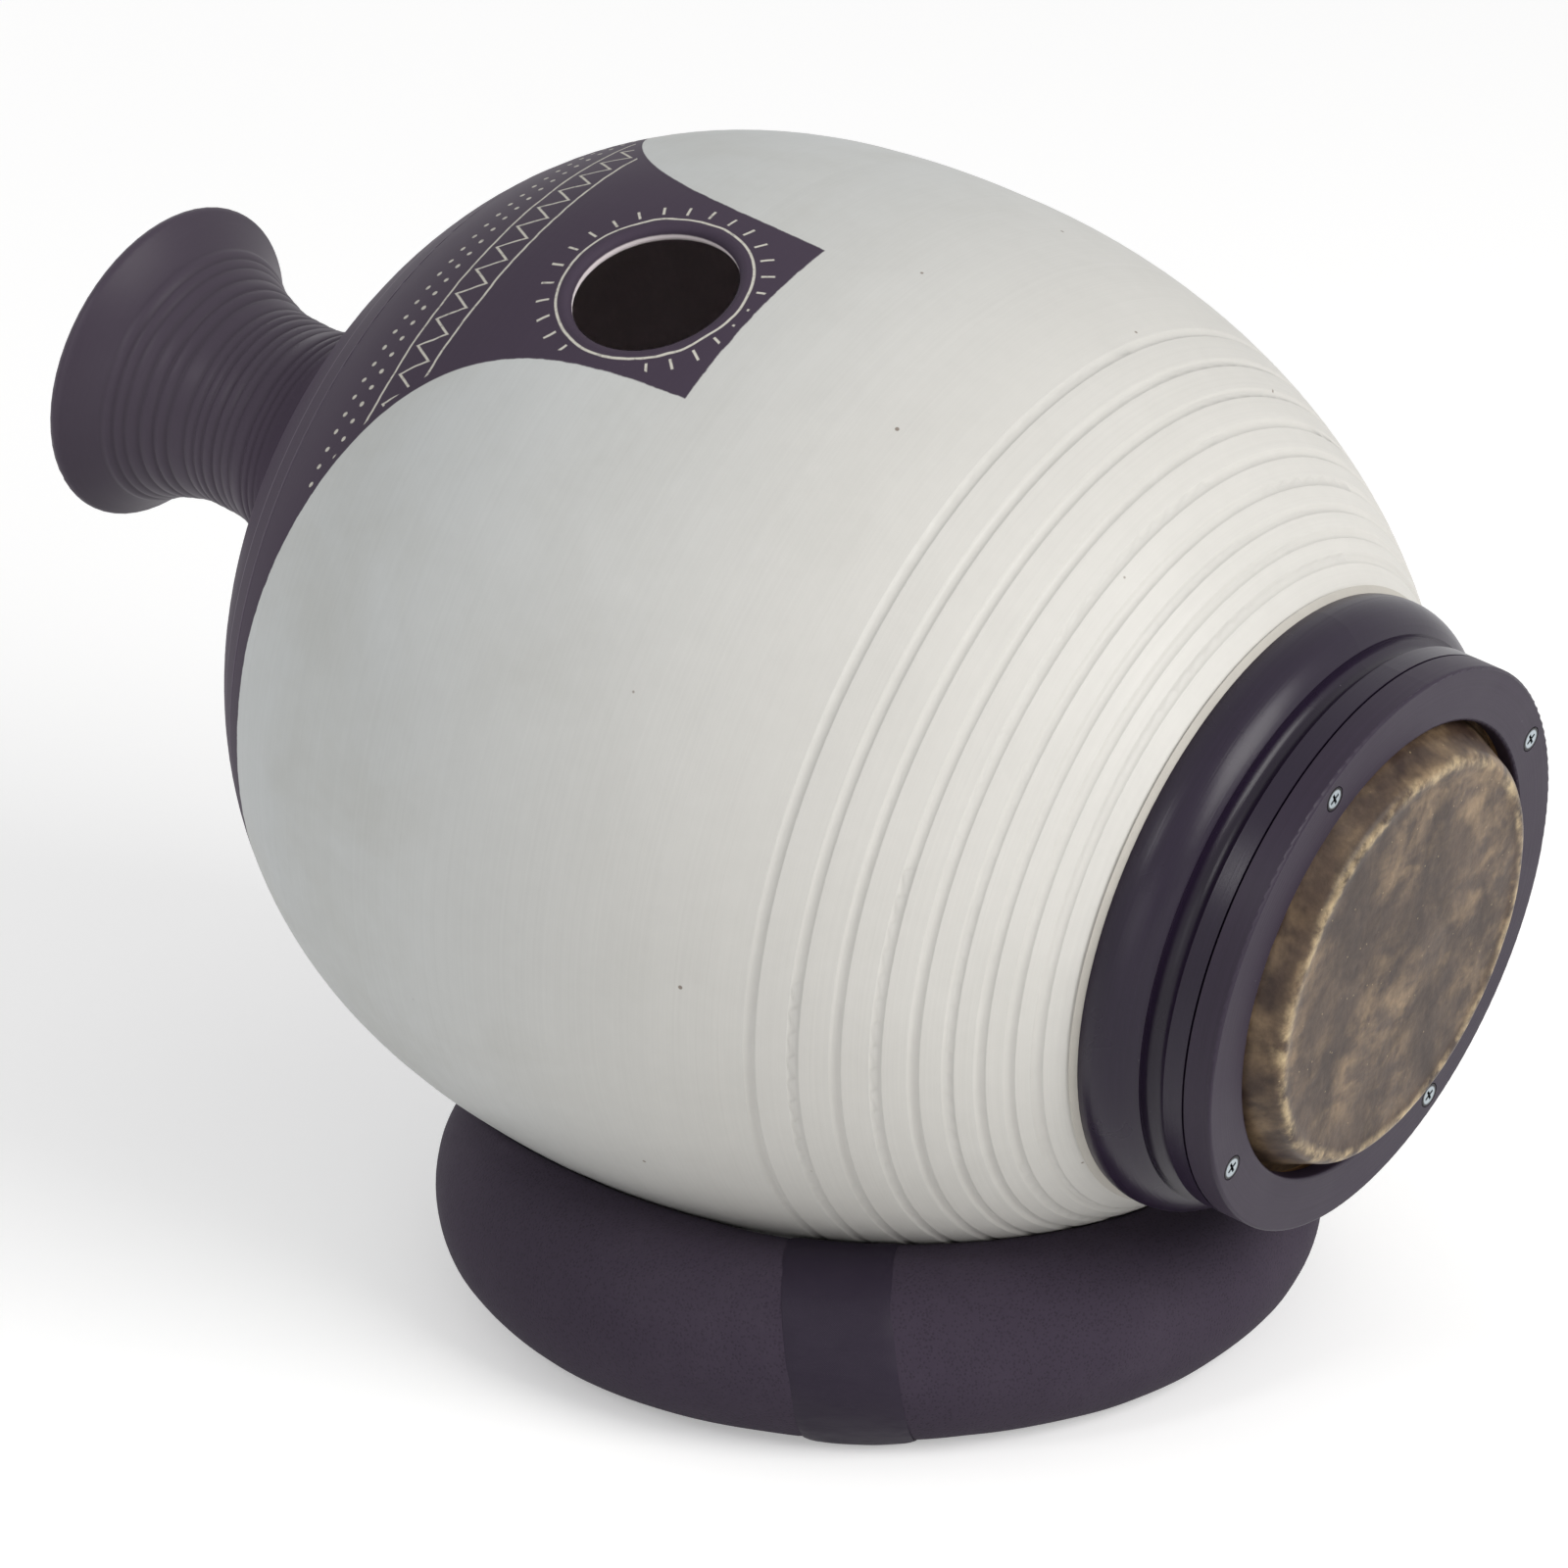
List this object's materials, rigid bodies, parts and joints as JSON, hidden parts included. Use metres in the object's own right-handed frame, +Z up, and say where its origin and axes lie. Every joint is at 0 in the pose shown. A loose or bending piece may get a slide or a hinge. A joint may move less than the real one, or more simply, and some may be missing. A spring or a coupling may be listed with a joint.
{
  "type": "udu drum",
  "caption": "Egg-shaped clay pot drum with a trumpet neck, a round side hole and a small skin head held by a screwed clamp ring, lying on a foam ring.",
  "frame": {"origin": "on the floor at the middle of the foam ring", "axes": "+Z up; the drum's axis lies in a plane parallel to XZ with its head towards +X, tilted down a little; the side hole leans towards -Y"},
  "size_m": [0.5046, 0.3365, 0.3582],
  "materials": {
    "fired_clay": "off-white satin slip with a dark burnished zone at the neck",
    "sealant": "grey, matte",
    "black_collar": "black lacquer, satin",
    "plain_wood": "bare",
    "goat_skin": "mottled, satin",
    "black_ring": "black lacquer, satin",
    "zinc_steel": "zinc plated",
    "brass": "turned",
    "foam": "dark foam, matte",
    "tape": "dark tape, satin"
  },
  "bodies": {
    "stand": {"stand_ring": "foam", "stand_tape": "tape"},
    "drum": {"pot": "fired_clay", "collar_seal": "sealant", "collar": "black_collar", "bearing_hoop": "plain_wood", "drum_skin": "goat_skin", "flesh_hoop": "plain_wood", "threaded_insert_1": "brass", "threaded_insert_2": "brass", "threaded_insert_3": "brass", "threaded_insert_4": "brass"},
    "clamp": {"clamp_ring": "black_ring"},
    "screw_1": {"tuning_screw_1": "zinc_steel"},
    "screw_2": {"tuning_screw_2": "zinc_steel"},
    "screw_3": {"tuning_screw_3": "zinc_steel"},
    "screw_4": {"tuning_screw_4": "zinc_steel"}
  },
  "joints": [
    {"name": "drum_lift", "type": "slide", "parent": "stand", "child": "drum", "axis": [0, 0, 1], "range_m": [0, 0.25]},
    {"name": "clamp_slack", "type": "slide", "parent": "drum", "child": "clamp", "axis": [0.9894, 0, -0.1452], "range_m": [0, 0.003]},
    {"name": "screw_turn_1", "type": "hinge", "parent": "clamp", "child": "screw_1", "pos_m": [0.19145, -0.03974, 0.22715], "axis": [0.9894, 0, -0.1452], "range_deg": [0, 1545]},
    {"name": "screw_turn_2", "type": "hinge", "parent": "clamp", "child": "screw_2", "pos_m": [0.17436, -0.06432, 0.11073], "axis": [0.9894, 0, -0.1452], "range_deg": [0, 1545]},
    {"name": "screw_turn_3", "type": "hinge", "parent": "clamp", "child": "screw_3", "pos_m": [0.17079, 0.05334, 0.08641], "axis": [0.9894, 0, -0.1452], "range_deg": [0, 1545]},
    {"name": "screw_turn_4", "type": "hinge", "parent": "clamp", "child": "screw_4", "pos_m": [0.18788, 0.07792, 0.20283], "axis": [0.9894, 0, -0.1452], "range_deg": [0, 1545]}
  ],
  "couplings": [
    {"joint": "screw_turn_1", "follows": "clamp_slack", "rad_per_m": 8976},
    {"joint": "screw_turn_2", "follows": "clamp_slack", "rad_per_m": 8976},
    {"joint": "screw_turn_3", "follows": "clamp_slack", "rad_per_m": 8976},
    {"joint": "screw_turn_4", "follows": "clamp_slack", "rad_per_m": 8976}
  ]
}
